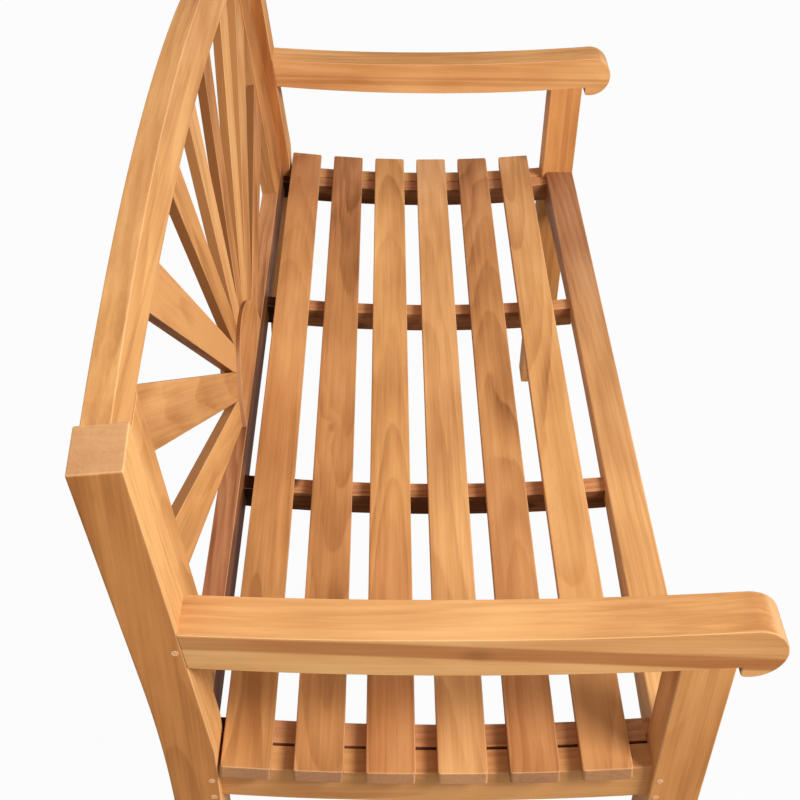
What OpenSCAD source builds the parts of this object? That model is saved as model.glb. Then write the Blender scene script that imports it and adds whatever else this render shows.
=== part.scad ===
// Teak garden bench with a sunburst back, 1.2 m long, for two people.
// Millimetres. +X runs along the bench to the viewer's right, +Y to the back, +Z up.
// The origin is on the ground, under the middle of the bench's bounding box.
// The back is a flat panel that leans: its parts are drawn upright and tilted together.

/* [Overall] */
// Length of the bench, end to end of the seat slats
bench_length = 1200; // [900:10:1800]
// Height of the seat at its front and rear edge
seat_height = 450; // [380:5:500]
// Depth of the seat frame, front of the rear legs to front of the front legs
seat_depth = 468; // [420:2:560]
// Height of the highest point of the back
back_height = 896; // [820:5:1000]
// Height of the arm where it meets the rear leg
arm_height = 636; // [560:5:680]
// Lean of the back from upright, degrees
back_lean = 6.8; // [2:0.2:14]

/* [Legs] */
// Thickness of all four legs, along the bench
leg_w = 47; // [36:1:60]
// Depth of a rear leg, front to back
rear_leg_d = 46; // [40:1:70]
// Depth of a front leg, front to back
front_leg_d = 50; // [44:1:70]
// Distance that the seat slats run past the legs' outer faces
slat_overhang = 3; // [0:1:20]
// Height above the seat at which a rear leg starts to lean
lean_start = 15; // [5:1:60]
// Radius of the bend in a rear leg's back edge
rear_bend_r = 1800; // [600:50:2400]

/* [Arms] */
// Width of an arm, along the bench
arm_w = 47; // [36:1:70]
// Thickness of an arm, top to bottom, where its top is lowest
arm_t = 48; // [36:1:56]
// Radius of the hollow that runs along the top of an arm
arm_top_r = 3400; // [2400:100:9000]
// Distance from the rear leg to the lowest point of that hollow
arm_top_low = 182; // [100:2:260]
// Radius of the arm's curved underside
arm_under_r = 2800; // [2400:100:9000]
// Distance from the rear leg to the lowest point of the underside
arm_under_low = 216; // [100:2:300]
// Radius of the rounded nose
nose_r = 31; // [24:1:36]
// Distance from the front leg's front face to the tip of the nose
nose_reach = 42; // [38:1:70]
// Width of the notch between the nose and the front leg
nose_notch = 4; // [2:0.5:8]

/* [Seat] */
// Width of a slat
slat_w = 48; // [36:1:60]
// Thickness of a slat
slat_t = 18; // [12:1:22]
// Radius of the corners at the slats' ends
slat_corner = 3; // [1:0.5:6]
// Clear space between the first slat and the rear legs
slat_rear_gap = 3; // [2:1:12]
// Clear space between the last slat and the front rail
slat_front_gap = 28; // [6:1:40]
// Depth of the seat's dish at its lowest
dish = 10.5; // [4:0.5:16]
// Thickness of the curved middle bearers
bearer_t = 24; // [18:1:32]
// Thickness of the curved end bearers, which are notched round the legs
end_bearer_t = 27; // [24:1:32]
// Clear space between an end bearer and its side rail
end_bearer_gap = 3; // [1:0.5:6]
// Height of the bearers
bearer_h = 30; // [24:1:44]
// Distance from the middle of the bench to each middle bearer's centre
bearer_x = 189; // [120:1:260]
// Thickness of the side rails between front and rear legs
side_rail_t = 28; // [22:1:36]
// Height of the side rails
side_rail_h = 47; // [42:1:80]
// Thickness of the front rail, front to back
front_rail_t = 44; // [30:1:48]
// Height of the front rail at its ends
front_rail_h = 50; // [46:1:80]
// Rise of the front rail's arched lower edge
front_rail_arch = 27; // [5:1:28]
// Drop of the front rail's top below the seat's edge
front_rail_drop = 4; // [0:1:12]

/* [Back panel] */
// Thickness of the back panel's frame and of its half-round hub
panel_t = 26; // [20:1:34]
// Distance that the panel sits behind the rear legs' front faces
panel_setback = 13; // [4:1:18]
// Height of the rear rail
rear_rail_h = 40; // [36:1:90]
// Rise of the rear rail's top above the seat's edge
rear_rail_rise = 2; // [-4:1:20]
// Width of the upright boards beside the rear legs
stile_w = 88; // [50:1:120]
// Radius of the top rail's upper edge
crest_top_r = 2500; // [1600:50:6000]
// Radius of the top rail's lower edge
crest_low_r = 3600; // [2000:50:9000]
// Height of the top rail at its middle
crest_h = 70; // [50:1:110]

/* [Sunburst] */
// Thickness of a ray
ray_t = 12; // [8:0.5:14]
// Distance that the rays sit behind the panel's front face
ray_setback = 5.5; // [3:0.5:8]
// Angle round the hub between neighbouring rays, degrees
ray_angle = 17; // [16:0.5:18]
// Place where the first pair of rays meets the arch, as a share of the opening's half width
ray_end_1 = 0.316; // [0.28:0.004:0.36]
// Place where the second pair meets the arch, as a share of the same
ray_end_2 = 0.704; // [0.64:0.004:0.76]
// Place where the third pair meets the stiles, as a share of the stiles' height
ray_end_3 = 0.9; // [0.86:0.005:0.94]
// Place where the last pair meets the stiles, as a share of the same
ray_end_4 = 0.445; // [0.4:0.005:0.5]
// Width of a ray where it leaves the hub
ray_root_w = 36; // [28:1:42]
// Growth of a ray's width per millimetre of its length
ray_flare = 0.06; // [0:0.005:0.1]
// Radius of the half-round hub's edge
hub_r = 114; // [90:1:150]
// Depth of the hub's centre below the rear rail's top
hub_drop = 24; // [0:1:40]

/* [Joints] */
// Clearance round a tenon in its mortise, for the glue
fit = 0.2; // [0.1:0.05:0.4]
// Length of the tenons that enter the legs from the front or back
leg_tenon = 16; // [12:1:20]
// Thickness of the tenons on the side rails and arms
tenon_t = 12; // [8:1:14]
// Wood left between two tenons that meet at right angles in a leg
tenon_wall = 1.5; // [1:0.5:4]
// Shoulder above and below a side rail's tenon
side_shoulder = 5; // [3:1:10]
// Thickness of the tenons on the back panel's frame
panel_tenon_t = 10; // [8:0.5:14]
// Depth that a ray's end sits in the frame or in the hub
ray_tenon = 9; // [5:0.5:12]
// Depth that a bearer's tenon enters a rail
bearer_tenon = 12; // [8:1:14]
// Diameter of the round pins that lock the tenons
pin_d = 7; // [5:0.5:8]
// Distance from a pin's centre to the shoulder of its joint
pin_inset = 7; // [6:0.5:11]
// Distance from a pin's centre to the nearer edge of a side rail's tenon
pin_drop = 5; // [4.5:0.5:7]
// Diameter of the screws that hold the slats down
screw_d = 4; // [3:0.5:5]
// Depth that a screw enters its slat
screw_grip = 10; // [7:0.5:11]

/* [Hidden] */

// Numbers of seat slats, and of rays on each side of the middle one
slat_count = 6;
ray_pairs = 4;

// Colours of the boards, from the palest to the reddest
pale = [0.90, 0.69, 0.46];
golden = [0.86, 0.61, 0.37];
tan_brown = [0.80, 0.54, 0.33];
reddish = [0.70, 0.44, 0.27];
steel = [0.72, 0.72, 0.70];

// Extra length that lets a cutting shape run clear of what it cuts
over = 1;
// Facets of long shallow arcs, and of small rounds
arc_facets = 720;
round_facets = 48;

// Places along the bench
leg_out = bench_length / 2 - slat_overhang;
leg_in = leg_out - leg_w;
leg_mid = leg_out - leg_w / 2;
frame_half = leg_in - stile_w;

// Places front to back: the bounding box is centred on the origin
rail_top = seat_height + rear_rail_rise;
crest_apex = (back_height - rail_top) / cos(back_lean);
crest_reach = panel_setback + panel_t * cos(back_lean) + crest_apex * sin(back_lean);
crest_drop = crest_top_r - sqrt(pow(crest_top_r, 2) - pow(leg_in, 2));
kink = seat_height + lean_start;
post_deep = rear_leg_d / cos(back_lean);
post_reach = (back_height - crest_drop - kink) * tan(back_lean) + post_deep;
back_reach = max(crest_reach, post_reach);
post_front = (seat_depth + nose_reach - back_reach) / 2;
front_face = post_front - seat_depth;
front_leg_back = front_face + front_leg_d;
front_rail_back = front_face + front_rail_t;

// The seat's dish: an arc of a circle over the slats, lowest in their middle
slat_first = post_front - slat_rear_gap - slat_w / 2;
slat_last = front_rail_back + slat_front_gap + slat_w / 2;
slat_pitch = (slat_first - slat_last) / (slat_count - 1);
dish_mid = (slat_first + slat_last) / 2;
dish_half = (slat_first - slat_last + slat_w) / 2;
dish_r = (dish_half * dish_half + dish * dish) / (2 * dish);
dish_centre = seat_height - dish + dish_r;
// A flat slat touches the hollow curve under it along both its edges
slat_seat = 0.3;
bearer_top_r = dish_r + slat_t + slat_seat;

// The arm lies between two arcs, each with its own lowest point
arm_front = front_face - nose_reach;
arm_back = post_front + (arm_height - arm_t / 2 - kink) * tan(back_lean);
nose_y = arm_front + nose_r;
arm_top_y = arm_back - arm_top_low;
arm_top_centre = arm_height + sqrt(pow(arm_top_r, 2) - pow(arm_top_low, 2));
arm_under_y = arm_back - arm_under_low;
arm_under_centre = arm_top_centre - arm_top_r - arm_t + arm_under_r;
function arm_top(y) = arm_top_centre - sqrt(pow(arm_top_r, 2) - pow(y - arm_top_y, 2));
function arm_under(y) = arm_under_centre - sqrt(pow(arm_under_r, 2) - pow(y - arm_under_y, 2));
nose_z = arm_top(nose_y) - nose_r;
front_leg_top = arm_under(front_face + front_leg_d / 2);

// The top rail's arcs in the panel's own upright frame
crest_low = crest_apex - crest_h;
crest_top_centre = crest_apex - crest_top_r;
crest_low_centre = crest_low - crest_low_r;
function crest_top_z(x) = crest_top_centre + sqrt(pow(crest_top_r, 2) - x * x);
function crest_low_z(x) = crest_low_centre + sqrt(pow(crest_low_r, 2) - x * x);

// The sunburst: ray 0 is the middle one, 1 to 4 and -1 to -4 lie right and left of it
ray_gap = 0.3;
function ray_foot(j) = [hub_r * sin(j * ray_angle), hub_r * cos(j * ray_angle) - hub_drop];
function arch_spot(x) = [x, crest_low_z(x)];
ray_ends = [
    arch_spot(0),
    arch_spot(ray_end_1 * frame_half),
    arch_spot(ray_end_2 * frame_half),
    [frame_half, ray_end_3 * crest_low_z(frame_half)],
    [frame_half, ray_end_4 * crest_low_z(frame_half)]];
ray_tilts = [for (j = [0 : ray_pairs]) ray_tilt(ray_ends[j] - ray_foot(j))];
function ray_tilt(run) = atan2(run[0], run[1]);
ray_reach = crest_apex + leg_in;

// Frames and shared shapes

// Puts what is drawn upright, with the rear rail's front top edge on Y = Z = 0, in the lean
module in_panel() {
    translate([0, post_front + panel_setback, rail_top])
        rotate([-back_lean, 0, 0])
            children();
}

// A plate of the panel: an outline in X and Z, with its front face at Y = front
module plate(front, thick) {
    translate([0, front + thick, 0])
        rotate([90, 0, 0])
            linear_extrude(thick)
                children();
}

// A board across the bench's width: an outline in Y and Z, centred on X = x
module side_board(x, thick) {
    translate([x - thick / 2, 0, 0])
        rotate([90, 0, 90])
            linear_extrude(thick)
                children();
}

// A rectangle centred on the origin, with its corners rounded in short steps
module rounded_rectangle(long, wide, corner) {
    step = 22.5;
    polygon([for (n = [0 : 3], a = [n * 90 : step : (n + 1) * 90])
        [(n == 0 || n == 3 ? 1 : -1) * (long / 2 - corner) + corner * cos(a),
         (n < 2 ? 1 : -1) * (wide / 2 - corner) + corner * sin(a)]]);
}

// A box between two corners
module block(low, high) {
    translate(low)
        cube(high - low);
}

// A curved strip under the slats, from y0 to y1, height h below the slats
module dished_strip(y0, y1, h) {
    intersection() {
        translate([dish_mid, dish_centre])
            difference() {
                circle(bearer_top_r + h, $fn = arc_facets);
                circle(bearer_top_r, $fn = arc_facets);
            }
        translate([y0, 0])
            square([y1 - y0, seat_height]);
    }
}

// Height of the bearers' and side rails' top edge at a place front to back
function strip_top(y) = dish_centre - sqrt(pow(bearer_top_r, 2) - pow(y - dish_mid, 2));

// Rounds of the joints

// Pins along X at one leg: arm and side rail, drawn longer when they cut a bore
module rear_leg_pins(side, d, extra) {
    for (p = rear_pin_places)
        leg_pin(side, p, d, extra);
}

module front_leg_pins(side, d, extra) {
    for (p = front_pin_places)
        leg_pin(side, p, d, extra);
}

module leg_pin(side, place, d, extra) {
    translate([side * leg_out, place[0], place[1]])
        rotate([0, -side * 90, 0])
            translate([0, 0, -extra])
                cylinder(d = d, h = pin_len + 2 * extra, $fn = round_facets);
}

// The side rails' tenons, with two pins each
rear_tenon_top = strip_top(post_front) - side_shoulder;
front_tenon_top = strip_top(front_leg_back) - side_shoulder;
side_tenon_h = side_rail_h - 2 * side_shoulder;
pin_pitch = side_tenon_h - 2 * pin_drop;
pin_end_wall = 4;
// Length of an arm's rear tenon that overlaps the arm itself, whose end slopes
tenon_root = 6;
pin_len = leg_w / 2 + tenon_t / 2 + pin_end_wall;
arm_tenon_share = 0.55;
arm_tenon_h = arm_t * arm_tenon_share;
arm_tenon_mid = arm_height - arm_t / 2;
rear_pin_top = rear_tenon_top - pin_drop;
front_pin_top = front_tenon_top - pin_drop;
rear_pin_places = [
    [post_front + pin_inset, rear_pin_top],
    [post_front + pin_inset, rear_pin_top - pin_pitch],
    [arm_back + pin_inset, arm_tenon_mid]];
front_pin_places = [
    [front_leg_back - pin_inset, front_pin_top],
    [front_leg_back - pin_inset, front_pin_top - pin_pitch]];

// Tenons, drawn larger by grow on all sides when they cut the mortise

module rear_side_tenon(side, grow) {
    block([side * leg_mid - tenon_t / 2 - grow, post_front - over,
           rear_tenon_top - side_tenon_h - grow],
          [side * leg_mid + tenon_t / 2 + grow, post_front + leg_tenon + grow,
           rear_tenon_top + grow]);
}

module front_side_tenon(side, grow) {
    block([side * leg_mid - tenon_t / 2 - grow, front_leg_back - leg_tenon - grow,
           front_tenon_top - side_tenon_h - grow],
          [side * leg_mid + tenon_t / 2 + grow, front_leg_back + over,
           front_tenon_top + grow]);
}

module arm_rear_tenon(side, grow) {
    block([side * leg_mid - tenon_t / 2 - grow, arm_back - tenon_root,
           arm_tenon_mid - arm_tenon_h / 2 - grow],
          [side * leg_mid + tenon_t / 2 + grow, arm_back + leg_tenon + grow,
           arm_tenon_mid + arm_tenon_h / 2 + grow]);
}

arm_post_share = 0.6;
arm_post_tenon = arm_t * arm_post_share;
leg_top_shoulder = 10;

module front_leg_tenon(side, grow) {
    block([side * leg_mid - tenon_t / 2 - grow, front_face + leg_top_shoulder - grow,
           front_leg_top - leg_top_shoulder],
          [side * leg_mid + tenon_t / 2 + grow, front_leg_back - leg_top_shoulder + grow,
           front_leg_top + arm_post_tenon + grow]);
}

// Tenons that enter a leg from the bench's middle stop short of the side rail's tenon
cross_tenon = (leg_w - tenon_t) / 2 - tenon_wall;
cross_shoulder = 8;
front_rail_top = seat_height - front_rail_drop;
front_rail_low = front_rail_top - front_rail_h;

module front_rail_tenon(side, grow) {
    mirror([side < 0 ? 1 : 0, 0, 0])
        block([leg_in - over, front_face + cross_shoulder - grow,
               front_rail_low + cross_shoulder - grow],
              [leg_in + cross_tenon + grow, front_face + cross_shoulder + tenon_t + grow,
               front_rail_top - cross_shoulder + grow]);
}

panel_tenon_y = (panel_t - panel_tenon_t) / 2;

module rear_rail_tenon(side, grow) {
    mirror([side < 0 ? 1 : 0, 0, 0])
        block([leg_in - over, panel_tenon_y - grow, -rear_rail_h + cross_shoulder - grow],
              [leg_in + cross_tenon + grow, panel_tenon_y + panel_tenon_t + grow,
               -cross_shoulder + grow]);
}

crest_end_low = crest_low_z(leg_in);
crest_end_top = crest_top_z(leg_in);

module crest_tenon(side, grow) {
    mirror([side < 0 ? 1 : 0, 0, 0])
        block([leg_in - over, panel_tenon_y - grow, crest_end_low + cross_shoulder - grow],
              [leg_in + cross_tenon + grow, panel_tenon_y + panel_tenon_t + grow,
               crest_end_top - 2 * cross_shoulder + grow]);
}

stile_mid = frame_half + stile_w / 2;
stile_tenon_w = stile_w / 2;
stile_tenon_h = 14;

module stile_low_tenon(side, grow) {
    block([side * stile_mid - stile_tenon_w / 2 - grow, panel_tenon_y - grow, -stile_tenon_h - grow],
          [side * stile_mid + stile_tenon_w / 2 + grow, panel_tenon_y + panel_tenon_t + grow, over]);
}

module stile_top_tenon(side, grow) {
    block([side * stile_mid - stile_tenon_w / 2 - grow, panel_tenon_y - grow, crest_end_low - over],
          [side * stile_mid + stile_tenon_w / 2 + grow, panel_tenon_y + panel_tenon_t + grow,
           crest_low_z(stile_mid) + stile_tenon_h + grow]);
}

hub_tenon_share = 0.8;
hub_tenon_w = hub_r * hub_tenon_share;

module hub_tenon(grow) {
    block([-hub_tenon_w / 2 - grow, panel_tenon_y - grow, -stile_tenon_h - grow],
          [hub_tenon_w / 2 + grow, panel_tenon_y + panel_tenon_t + grow, over]);
}

// The front rail's lower edge is an arc that rises from both legs to the middle
front_arch_r = (leg_in * leg_in + front_rail_arch * front_rail_arch) / (2 * front_rail_arch);
front_arch_centre = front_rail_low + front_rail_arch - front_arch_r;
function front_rail_edge(x) = front_arch_centre + sqrt(pow(front_arch_r, 2) - x * x);

// A bearer's tenons are as high as the wood that they meet allows, less a shoulder
bearer_shoulder = 4;
bearer_rear_top = strip_top(post_front);
bearer_rear_low = max(bearer_rear_top - bearer_h, rail_top - rear_rail_h * cos(back_lean));
bearer_front_top = strip_top(front_rail_back);
function bearer_front_low(x) = max(bearer_front_top - bearer_h, front_rail_edge(x));

// Each bearer: its place along the bench, its thickness, and the place of its tenons.
// An end bearer's tenons are centred in the part of it that passes between the legs.
end_bearer_x = leg_mid - side_rail_t / 2 - end_bearer_gap - end_bearer_t / 2;
end_tenon_x = (end_bearer_x - end_bearer_t / 2 + leg_in) / 2;
bearer_places = [
    [-end_bearer_x, end_bearer_t, -end_tenon_x],
    [-bearer_x, bearer_t, -bearer_x],
    [bearer_x, bearer_t, bearer_x],
    [end_bearer_x, end_bearer_t, end_tenon_x]];

module bearer_rear_tenon(place, grow) {
    depth = panel_setback + bearer_tenon;
    block([place[2] - tenon_t / 2 - grow, post_front,
           bearer_rear_low + bearer_shoulder - grow],
          [place[2] + tenon_t / 2 + grow, post_front + depth + grow,
           bearer_rear_top - bearer_shoulder + grow]);
}

module bearer_front_tenon(place, grow) {
    block([place[2] - tenon_t / 2 - grow, front_rail_back - bearer_tenon - grow,
           bearer_front_low(place[2]) + bearer_shoulder - grow],
          [place[2] + tenon_t / 2 + grow, front_rail_back + over,
           bearer_front_top - bearer_shoulder + grow]);
}

// Screws stand upright under each slat, in every bearer
screw_gap = 0.1;
screw_head_share = 0.8;
function slat_y(i) = slat_first - i * slat_pitch;
function slat_lean(i) = asin((slat_y(i) - dish_mid) / dish_r);

// One screw, larger by grow when it cuts its own hole, which is then open below
module screw_shape(grow) {
    head_d = screw_d * 2;
    head_h = screw_d * screw_head_share;
    screw_low = -slat_t - slat_seat - bearer_h + over;
    opened = grow > 0 ? 2 * over : 0;
    translate([0, 0, screw_low - opened])
        cylinder(d = head_d + 2 * grow, h = head_h + opened + grow, $fn = round_facets);
    translate([0, 0, screw_low])
        cylinder(d = screw_d + 2 * grow, h = -screw_low - slat_t + screw_grip + grow, $fn = round_facets);
}

module slat_frame(i) {
    translate([0, dish_mid, dish_centre])
        rotate([slat_lean(i), 0, 0])
            translate([0, 0, -dish_r])
                children();
}

module screws_at(i, grow) {
    for (place = bearer_places)
        slat_frame(i)
            translate([place[0], 0, 0])
                screw_shape(grow);
}

// Pieces of the base

module rear_leg(side) {
    top_y = post_front + (back_height - kink) * tan(back_lean);
    bend_y = post_front + rear_leg_d + rear_bend_r;
    bend_z = kink - (rear_leg_d + rear_bend_r) * tan(back_lean / 2);
    bend_steps = 12;
    bend = [for (i = [bend_steps : -1 : 0]) i * back_lean / bend_steps];
    color(golden)
        difference() {
            intersection() {
                side_board(side * leg_mid, leg_w)
                    polygon(concat(
                        [[post_front, 0], [post_front, kink], [top_y, back_height]],
                        [[top_y + post_deep, back_height]],
                        [for (a = bend) [bend_y - rear_bend_r * cos(a), bend_z + rear_bend_r * sin(a)]],
                        [[post_front + rear_leg_d, 0]]));
                in_panel()
                    translate([0, rear_leg_d * 3, crest_top_centre])
                        rotate([90, 0, 0])
                            cylinder(r = crest_top_r, h = rear_leg_d * 6, $fn = arc_facets);
            }
            rear_side_tenon(side, fit);
            arm_rear_tenon(side, fit);
            rear_leg_pins(side, pin_d, over);
            in_panel() {
                rear_rail_tenon(side, fit);
                crest_tenon(side, fit);
            }
        }
}

module front_leg(side) {
    color(golden)
        difference() {
            union() {
                difference() {
                    block([side * leg_mid - leg_w / 2, front_face, 0],
                          [side * leg_mid + leg_w / 2, front_leg_back, arm_height]);
                    arm_blank(side, over);
                }
                front_leg_tenon(side, 0);
            }
            front_side_tenon(side, fit);
            front_rail_tenon(side, fit);
            front_leg_pins(side, pin_d, over);
        }
}

// The arm without its joints, wider by extra on both sides when it trims the leg under it
module arm_blank(side, extra) {
    side_board(side * leg_mid, arm_w + 2 * extra)
        union() {
            intersection() {
                difference() {
                    translate([arm_under_y, arm_under_centre])
                        circle(arm_under_r, $fn = arc_facets);
                    translate([arm_top_y, arm_top_centre])
                        circle(arm_top_r, $fn = arc_facets);
                }
                polygon([
                    [nose_y, 0],
                    [post_front, 0],
                    [post_front, kink],
                    [post_front + (back_height - kink) * tan(back_lean), back_height],
                    [nose_y, back_height]]);
            }
            difference() {
                translate([nose_y, nose_z])
                    circle(nose_r, $fn = 2 * round_facets);
                translate([front_face - nose_notch, 0])
                    square([2 * nose_r, arm_under(front_face)]);
            }
        }
}

module arm(side) {
    color(pale)
        difference() {
            union() {
                arm_blank(side, 0);
                difference() {
                    arm_rear_tenon(side, 0);
                    side_board(side * leg_mid, arm_w)
                        polygon([
                            [arm_front, kink],
                            [post_front - over, kink],
                            [post_front + (back_height - kink) * tan(back_lean) - over, back_height],
                            [arm_front, back_height]]);
                }
            }
            front_leg_tenon(side, fit);
            rear_leg_pins(side, pin_d, over);
        }
}

module side_rail(side) {
    color(tan_brown)
        difference() {
            union() {
                side_board(side * leg_mid, side_rail_t)
                    dished_strip(front_leg_back, post_front, side_rail_h);
                rear_side_tenon(side, 0);
                front_side_tenon(side, 0);
            }
            rear_leg_pins(side, pin_d, over);
            front_leg_pins(side, pin_d, over);
        }
}

module front_rail() {
    color(pale)
        difference() {
            union() {
                difference() {
                    block([-leg_in, front_face, front_rail_low],
                          [leg_in, front_rail_back, front_rail_top]);
                    translate([0, front_rail_back + over, front_arch_centre])
                        rotate([90, 0, 0])
                            cylinder(r = front_arch_r, h = front_rail_t + 2 * over, $fn = arc_facets);
                }
                front_rail_tenon(-1, 0);
                front_rail_tenon(1, 0);
            }
            for (place = bearer_places)
                bearer_front_tenon(place, fit);
        }
}

module rear_rail() {
    color(reddish)
        difference() {
            in_panel()
                difference() {
                    union() {
                        block([-leg_in, 0, -rear_rail_h], [leg_in, panel_t, 0]);
                        rear_rail_tenon(-1, 0);
                        rear_rail_tenon(1, 0);
                    }
                    stile_low_tenon(-1, fit);
                    stile_low_tenon(1, fit);
                    hub_tenon(fit);
                }
            for (place = bearer_places)
                bearer_rear_tenon(place, fit);
        }
}

module bearer(place) {
    color(reddish)
        difference() {
            union() {
                intersection() {
                    side_board(place[0], place[1])
                        dished_strip(front_rail_back, post_front + panel_setback * 2, bearer_h);
                    in_panel()
                        block([-bench_length, -seat_depth * 2, -seat_height * 2],
                              [bench_length, 0, seat_height]);
                }
                bearer_rear_tenon(place, 0);
                bearer_front_tenon(place, 0);
            }
            for (side = [-1, 1])
                leg_notches(side);
            for (i = [0 : slat_count - 1])
                screws_at(i, screw_gap);
        }
}

// Room for the legs' inner corners, at one end of the bench
module leg_notches(side) {
    for (y = [front_face, post_front])
        block([side * leg_mid - leg_w / 2, y, 0],
              [side * leg_mid + leg_w / 2, y + (y < 0 ? front_leg_d : rear_leg_d), seat_height]);
}

module seat_slat(i) {
    tones = [golden, tan_brown, golden, pale, tan_brown, golden];
    color(tones[i])
        difference() {
            slat_frame(i)
                translate([0, 0, -slat_t])
                    linear_extrude(slat_t)
                        rounded_rectangle(bench_length, slat_w, slat_corner);
            screws_at(i, screw_gap);
        }
}

// Pieces of the back, drawn upright and leaned by in_panel

// One ray, larger by grow all round when it cuts its own mortise
module ray_shape(k, grow) {
    j = abs(k);
    mirror([k < 0 ? 1 : 0, 0, 0])
        plate(ray_setback - grow, ray_t + 2 * grow)
            difference() {
                intersection() {
                    from_hub(j * ray_angle, ray_tilts[j])
                        ray_outline(grow);
                    ray_window(ray_tenon + grow);
                }
                if (j > 0)
                    beyond(j - 1, -1, grow);
                if (j == 0)
                    mirror([1, 0])
                        beyond(0, 1, grow);
                if (j < ray_pairs)
                    beyond(j, 1, grow);
            }
}

// Stands on the hub's edge at an angle round the hub, tilted from upright
module from_hub(place, tilt) {
    translate([hub_r * sin(place), hub_r * cos(place) - hub_drop])
        rotate(-tilt)
            children();
}

// A ray's tapered board, upright on its root, from inside the hub to past the frame
module ray_outline(grow) {
    root = ray_root_w / 2 - ray_flare * hub_r / 2 + grow;
    tip = ray_root_w / 2 + ray_flare * ray_reach / 2 + grow;
    polygon([[-root, -hub_r], [root, -hub_r], [tip, ray_reach], [-tip, ray_reach]]);
}

// All that lies beyond the line midway between ray j and the next: way 1 outward, -1 inward
module beyond(j, way, grow) {
    from_hub((j + 0.5) * ray_angle, (ray_tilts[j] + ray_tilts[j + 1]) / 2)
        scale([way, 1])
            translate([grow - ray_gap / 2, -ray_reach])
                square([ray_reach, 2 * ray_reach]);
}

// The opening that the rays fill, deeper by more into the frame and the hub around it
module ray_window(more) {
    difference() {
        intersection() {
            translate([0, crest_low_centre])
                circle(crest_low_r + more, $fn = arc_facets);
            translate([-frame_half - more, 0])
                square([2 * (frame_half + more), crest_apex]);
        }
        translate([0, -hub_drop])
            circle(hub_r - more, $fn = 2 * round_facets);
    }
}

module ray(k) {
    tones = [golden, pale, tan_brown];
    color(tones[(k + ray_pairs) % len(tones)])
        in_panel()
            ray_shape(k, 0);
}

module sun_hub() {
    color(tan_brown)
        in_panel()
            difference() {
                union() {
                    plate(0, panel_t)
                        intersection() {
                            translate([0, -hub_drop])
                                circle(hub_r, $fn = 2 * round_facets);
                            translate([-hub_r, 0])
                                square([2 * hub_r, hub_r]);
                        }
                    hub_tenon(0);
                }
                for (k = [-ray_pairs : ray_pairs])
                    ray_shape(k, fit);
            }
}

module stile(side) {
    color(golden)
        in_panel()
            difference() {
                union() {
                    plate(0, panel_t)
                        intersection() {
                            translate([side * stile_mid - stile_w / 2, 0])
                                square([stile_w, crest_apex]);
                            translate([0, crest_low_centre])
                                circle(crest_low_r, $fn = arc_facets);
                        }
                    intersection() {
                        stile_top_tenon(side, 0);
                        block([-bench_length, 0, 0], [bench_length, panel_t, crest_apex]);
                    }
                    stile_low_tenon(side, 0);
                }
                for (k = [-ray_pairs : ray_pairs])
                    ray_shape(k, fit);
            }
}

module top_rail() {
    color(golden)
        in_panel()
            difference() {
                union() {
                    plate(0, panel_t)
                        intersection() {
                            difference() {
                                translate([0, crest_top_centre])
                                    circle(crest_top_r, $fn = arc_facets);
                                translate([0, crest_low_centre])
                                    circle(crest_low_r, $fn = arc_facets);
                            }
                            translate([-leg_in, 0])
                                square([2 * leg_in, 2 * crest_apex]);
                        }
                    crest_tenon(-1, 0);
                    crest_tenon(1, 0);
                }
                stile_top_tenon(-1, fit);
                stile_top_tenon(1, fit);
                for (k = [-ray_pairs : ray_pairs])
                    ray_shape(k, fit);
            }
}

// Fasteners, each kind in one group

module joint_pins() {
    color(pale)
        for (side = [-1, 1]) {
            rear_leg_pins(side, pin_d - fit, -fit);
            front_leg_pins(side, pin_d - fit, -fit);
        }
}

module slat_screws() {
    color(steel)
        for (i = [0 : slat_count - 1])
            screws_at(i, 0);
}

rear_leg(-1);  // rear_leg_left
rear_leg(1);  // rear_leg_right
front_leg(-1);  // front_leg_left
front_leg(1);  // front_leg_right
arm(-1);  // arm_left
arm(1);  // arm_right
side_rail(-1);  // side_rail_left
side_rail(1);  // side_rail_right
front_rail();
rear_rail();
bearer(bearer_places[0]);  // end_bearer_left
bearer(bearer_places[1]);  // middle_bearer_left
bearer(bearer_places[2]);  // middle_bearer_right
bearer(bearer_places[3]);  // end_bearer_right
stile(-1);  // stile_left
stile(1);  // stile_right
top_rail();
sun_hub();
ray(-4);  // ray_1
ray(-3);  // ray_2
ray(-2);  // ray_3
ray(-1);  // ray_4
ray(0);  // ray_5
ray(1);  // ray_6
ray(2);  // ray_7
ray(3);  // ray_8
ray(4);  // ray_9
seat_slat(0);  // seat_slat_1
seat_slat(1);  // seat_slat_2
seat_slat(2);  // seat_slat_3
seat_slat(3);  // seat_slat_4
seat_slat(4);  // seat_slat_5
seat_slat(5);  // seat_slat_6
joint_pins();
slat_screws();
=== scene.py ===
import math

import bmesh
import bpy
from mathutils import Matrix, Vector


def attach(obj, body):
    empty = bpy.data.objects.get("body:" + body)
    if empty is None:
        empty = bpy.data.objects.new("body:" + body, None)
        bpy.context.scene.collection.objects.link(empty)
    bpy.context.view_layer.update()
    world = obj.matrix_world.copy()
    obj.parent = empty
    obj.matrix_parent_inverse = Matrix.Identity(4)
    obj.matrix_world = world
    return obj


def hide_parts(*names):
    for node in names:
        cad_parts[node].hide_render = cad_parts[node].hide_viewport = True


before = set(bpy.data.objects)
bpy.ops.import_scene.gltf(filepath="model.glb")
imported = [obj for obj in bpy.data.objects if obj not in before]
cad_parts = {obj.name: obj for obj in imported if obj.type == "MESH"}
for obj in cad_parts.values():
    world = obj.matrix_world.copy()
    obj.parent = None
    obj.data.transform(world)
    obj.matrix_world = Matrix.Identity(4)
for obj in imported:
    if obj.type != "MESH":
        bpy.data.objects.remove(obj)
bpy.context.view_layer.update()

# A millimetre in metres
MM = 0.001

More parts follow.
